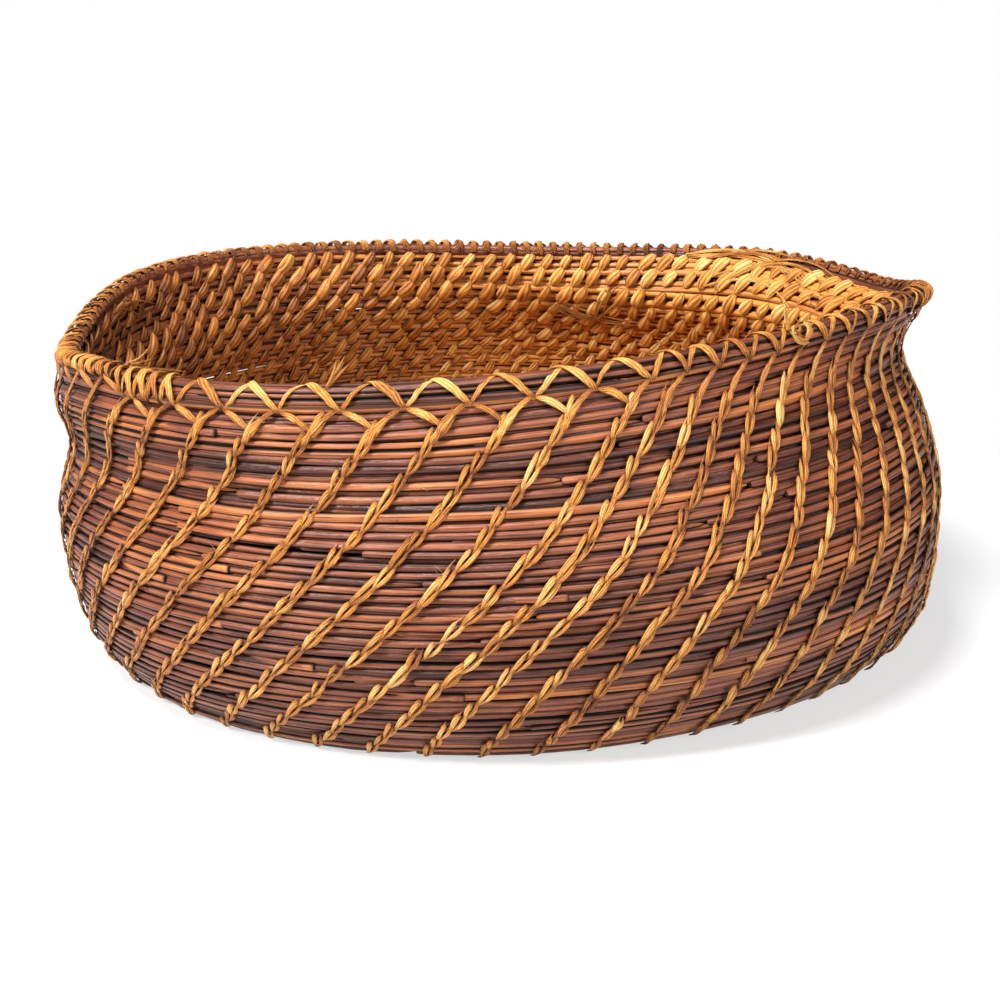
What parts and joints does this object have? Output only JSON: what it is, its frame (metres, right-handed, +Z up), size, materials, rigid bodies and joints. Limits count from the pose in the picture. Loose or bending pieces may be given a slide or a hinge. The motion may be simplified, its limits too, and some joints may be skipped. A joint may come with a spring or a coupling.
{
  "type": "pine needle basket",
  "caption": "Round open basket of coiled pine needle bundles, lashed with leaning chains of raffia stitches and laced along the rim.",
  "frame": {"origin": "middle of the basket's outline seen from above, on the plane that it stands on", "axes": "+Z up out of the open top, +Y along the longest width, towards the side where the rim is highest"},
  "size_m": [0.2218, 0.2359, 0.0877],
  "materials": {
    "needles_base": "satin dark brown dried needles",
    "needles_wall": "satin brown dried needles",
    "needles_rim": "satin red-brown dried needles",
    "raffia_wall": "matt golden raffia",
    "raffia_rim": "matt pale raffia"
  },
  "bodies": {
    "root": {"base_coil": "needles_base", "wall_coil": "needles_wall", "rim_coil": "needles_rim", "stitch_rib_01": "raffia_wall", "stitch_rib_02": "raffia_wall", "stitch_rib_03": "raffia_wall", "stitch_rib_04": "raffia_wall", "stitch_rib_05": "raffia_wall", "stitch_rib_06": "raffia_wall", "stitch_rib_07": "raffia_wall", "stitch_rib_08": "raffia_wall", "stitch_rib_09": "raffia_wall", "stitch_rib_10": "raffia_wall", "stitch_rib_11": "raffia_wall", "stitch_rib_12": "raffia_wall", "stitch_rib_13": "raffia_wall", "stitch_rib_14": "raffia_wall", "stitch_rib_15": "raffia_wall", "stitch_rib_16": "raffia_wall", "stitch_rib_17": "raffia_wall", "stitch_rib_18": "raffia_wall", "stitch_rib_19": "raffia_wall", "stitch_rib_20": "raffia_wall", "stitch_rib_21": "raffia_wall", "stitch_rib_22": "raffia_wall", "stitch_rib_23": "raffia_wall", "stitch_rib_24": "raffia_wall", "stitch_rib_25": "raffia_wall", "stitch_rib_26": "raffia_wall", "stitch_rib_27": "raffia_wall", "stitch_rib_28": "raffia_wall", "stitch_rib_29": "raffia_wall", "stitch_rib_30": "raffia_wall", "stitch_rib_31": "raffia_wall", "stitch_rib_32": "raffia_wall", "stitch_rib_33": "raffia_wall", "stitch_rib_34": "raffia_wall", "stitch_rib_35": "raffia_wall", "stitch_rib_36": "raffia_wall", "stitch_rib_37": "raffia_wall", "stitch_rib_38": "raffia_wall", "stitch_rib_39": "raffia_wall", "stitch_rib_40": "raffia_wall", "stitch_rib_41": "raffia_wall", "stitch_rib_42": "raffia_wall", "stitch_rib_43": "raffia_wall", "stitch_rib_44": "raffia_wall", "stitch_rib_45": "raffia_wall", "stitch_rib_46": "raffia_wall", "stitch_rib_47": "raffia_wall", "stitch_rib_48": "raffia_wall", "stitch_rib_49": "raffia_wall", "stitch_rib_50": "raffia_wall", "stitch_rib_51": "raffia_wall", "stitch_rib_52": "raffia_wall", "stitch_rib_53": "raffia_wall", "stitch_rib_54": "raffia_wall", "rim_lacing": "raffia_rim"}
  },
  "joints": []
}
